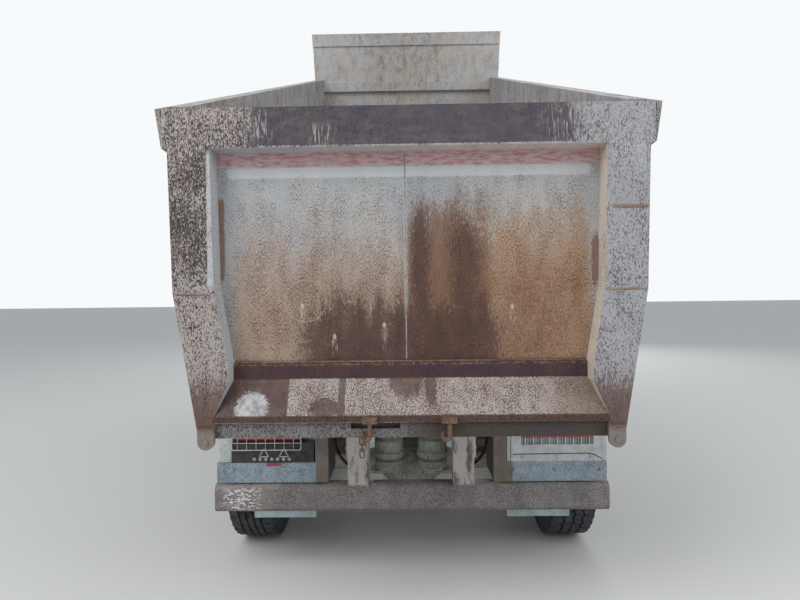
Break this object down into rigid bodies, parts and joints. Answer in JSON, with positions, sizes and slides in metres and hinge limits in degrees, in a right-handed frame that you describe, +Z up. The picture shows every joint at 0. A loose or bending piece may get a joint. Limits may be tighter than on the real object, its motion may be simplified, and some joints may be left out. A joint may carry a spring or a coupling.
{
  "type": "tipper truck",
  "caption": "Rigid road tipper with a raised rock bed, plumb top-hung tailgate, telescopic front hoist, drive bogie, steered front axle and cab.",
  "frame": {"origin": "on the ground, on the centreline, midway between the tailgate's lugs and the front bumper", "axes": "+Y forward, +X to the truck's right, +Z up"},
  "size_m": [2.9, 8.5988, 5.469],
  "materials": {
    "bed_white": "chipped pale paint with rust",
    "chassis_grey": "dusty grey paint",
    "panel_blue_grey": "worn blue-grey paint",
    "lamp_black": "dull black moulding",
    "cab_white": "pale cab paint",
    "glass": "clear glass",
    "engine_iron": "dusty cast iron",
    "tank_alloy": "dull aluminium",
    "seat_cloth": "dark woven cloth",
    "hoist_steel": "grey paint on steel tube",
    "rim_steel": "silver-grey wheel paint",
    "tyre": "dusty black rubber"
  },
  "bodies": {
    "chassis": {"chassis_frame": "chassis_grey", "rear_underrun": "chassis_grey", "lamp_panels": "panel_blue_grey", "tail_lamp_left": "lamp_black", "tail_lamp_right": "lamp_black", "rear_axle": "chassis_grey", "middle_axle": "chassis_grey", "brake_chambers": "chassis_grey", "leaf_springs": "chassis_grey", "prop_shafts": "chassis_grey", "engine_block": "engine_iron", "front_axle": "chassis_grey", "hoist_cradle": "chassis_grey", "cab_shell": "cab_white", "cab_glass": "glass", "cab_lower": "lamp_black", "grille": "lamp_black", "bumper": "lamp_black", "headlamps": "glass", "mudguards": "lamp_black", "fuel_tank": "tank_alloy", "equipment_box": "lamp_black", "silencer": "chassis_grey", "seats": "seat_cloth", "dashboard": "lamp_black", "steering_wheel": "lamp_black", "mirrors": "lamp_black"},
    "bed": {"bed_shell": "bed_white", "bed_rails": "bed_white", "bed_ribs": "bed_white", "bed_underframe": "bed_white", "headboard": "bed_white"},
    "tailgate": {"gate_frame": "bed_white", "gate_panel": "bed_white", "gate_sill": "bed_white", "gate_fittings": "bed_white"},
    "hoist_base": {"hoist_barrel": "hoist_steel"},
    "tie_rod": {"tie_rod": "chassis_grey"},
    "hoist_1": {"hoist_stage_1": "hoist_steel"},
    "hoist_2": {"hoist_stage_2": "hoist_steel"},
    "hoist_3": {"hoist_stage_3": "hoist_steel"},
    "hoist_4": {"hoist_stage_4": "hoist_steel"},
    "door_left": {"door_left": "cab_white", "door_glass_left": "glass"},
    "knuckle_left": {"knuckle_left": "chassis_grey"},
    "wheel_front_left": {"tyre_front_left": "tyre", "rim_front_left": "rim_steel"},
    "wheel_middle_left": {"tyre_middle_left": "tyre", "rim_middle_left": "rim_steel"},
    "wheel_rear_left": {"tyre_rear_left": "tyre", "rim_rear_left": "rim_steel"},
    "door_right": {"door_right": "cab_white", "door_glass_right": "glass"},
    "knuckle_right": {"knuckle_right": "chassis_grey"},
    "wheel_front_right": {"tyre_front_right": "tyre", "rim_front_right": "rim_steel"},
    "wheel_middle_right": {"tyre_middle_right": "tyre", "rim_middle_right": "rim_steel"},
    "wheel_rear_right": {"tyre_rear_right": "tyre", "rim_rear_right": "rim_steel"}
  },
  "joints": [
    {"name": "bed_tip", "type": "hinge", "parent": "chassis", "child": "bed", "pos_m": [0, -3.275, 1.09], "axis": [1, 0, 0], "range_deg": [-22, 23]},
    {"name": "tailgate_swing", "type": "hinge", "parent": "bed", "child": "tailgate", "pos_m": [0, -4.16877, 2.59476], "axis": [-1, 0, 0], "range_deg": [-22, 50]},
    {"name": "hoist_swing", "type": "hinge", "parent": "chassis", "child": "hoist_base", "pos_m": [0, 2.38, 0.8], "axis": [1, 0, 0], "range_deg": [-11.62, 12.15]},
    {"name": "hoist_slide_1", "type": "slide", "parent": "hoist_base", "child": "hoist_1", "axis": [0, -0.254, 0.9672], "range_m": [-0.5125, 0.5358]},
    {"name": "hoist_slide_2", "type": "slide", "parent": "hoist_1", "child": "hoist_2", "axis": [0, -0.254, 0.9672], "range_m": [-0.5125, 0.5358]},
    {"name": "hoist_slide_3", "type": "slide", "parent": "hoist_2", "child": "hoist_3", "axis": [0, -0.254, 0.9672], "range_m": [-0.5125, 0.5358]},
    {"name": "hoist_slide_4", "type": "slide", "parent": "hoist_3", "child": "hoist_4", "axis": [0, -0.254, 0.9672], "range_m": [-0.5125, 0.5358]},
    {"name": "steer_left", "type": "hinge", "parent": "chassis", "child": "knuckle_left", "pos_m": [-0.87, 2.9, 0.53], "axis": [0, 0, 1], "range_deg": [-38, 38]},
    {"name": "steer_right", "type": "hinge", "parent": "chassis", "child": "knuckle_right", "pos_m": [0.87, 2.9, 0.53], "axis": [0, 0, 1], "range_deg": [-38, 38]},
    {"name": "tie_rod_slide", "type": "slide", "parent": "chassis", "child": "tie_rod", "axis": [1, 0, 0], "range_m": [-0.1336, 0.1336]},
    {"name": "door_left_swing", "type": "hinge", "parent": "chassis", "child": "door_left", "pos_m": [-1.214, 3.957, 2], "axis": [0, 0, -1], "range_deg": [0, 70]},
    {"name": "door_right_swing", "type": "hinge", "parent": "chassis", "child": "door_right", "pos_m": [1.214, 3.957, 2], "axis": [0, 0, 1], "range_deg": [0, 70]},
    {"name": "spin_front_left", "type": "hinge", "parent": "knuckle_left", "child": "wheel_front_left", "pos_m": [-1.094, 2.9, 0.53], "axis": [-1, 0, 0], "continuous": true},
    {"name": "spin_front_right", "type": "hinge", "parent": "knuckle_right", "child": "wheel_front_right", "pos_m": [1.094, 2.9, 0.53], "axis": [-1, 0, 0], "continuous": true},
    {"name": "spin_middle_left", "type": "hinge", "parent": "chassis", "child": "wheel_middle_left", "pos_m": [-1.094, -1.38, 0.53], "axis": [-1, 0, 0], "continuous": true},
    {"name": "spin_middle_right", "type": "hinge", "parent": "chassis", "child": "wheel_middle_right", "pos_m": [1.094, -1.38, 0.53], "axis": [-1, 0, 0], "continuous": true},
    {"name": "spin_rear_left", "type": "hinge", "parent": "chassis", "child": "wheel_rear_left", "pos_m": [-1.094, -2.75, 0.53], "axis": [-1, 0, 0], "continuous": true},
    {"name": "spin_rear_right", "type": "hinge", "parent": "chassis", "child": "wheel_rear_right", "pos_m": [1.094, -2.75, 0.53], "axis": [-1, 0, 0], "continuous": true}
  ],
  "couplings": [
    {"joint": "hoist_swing", "follows": "bed_tip", "ratio": 0.5261},
    {"joint": "hoist_slide_1", "follows": "bed_tip", "m_per_rad": 1.3335},
    {"joint": "hoist_slide_2", "follows": "bed_tip", "m_per_rad": 1.3335},
    {"joint": "hoist_slide_3", "follows": "bed_tip", "m_per_rad": 1.3335},
    {"joint": "hoist_slide_4", "follows": "bed_tip", "m_per_rad": 1.3335},
    {"joint": "steer_right", "follows": "steer_left", "ratio": 1},
    {"joint": "tie_rod_slide", "follows": "steer_left", "m_per_rad": 0.2}
  ]
}
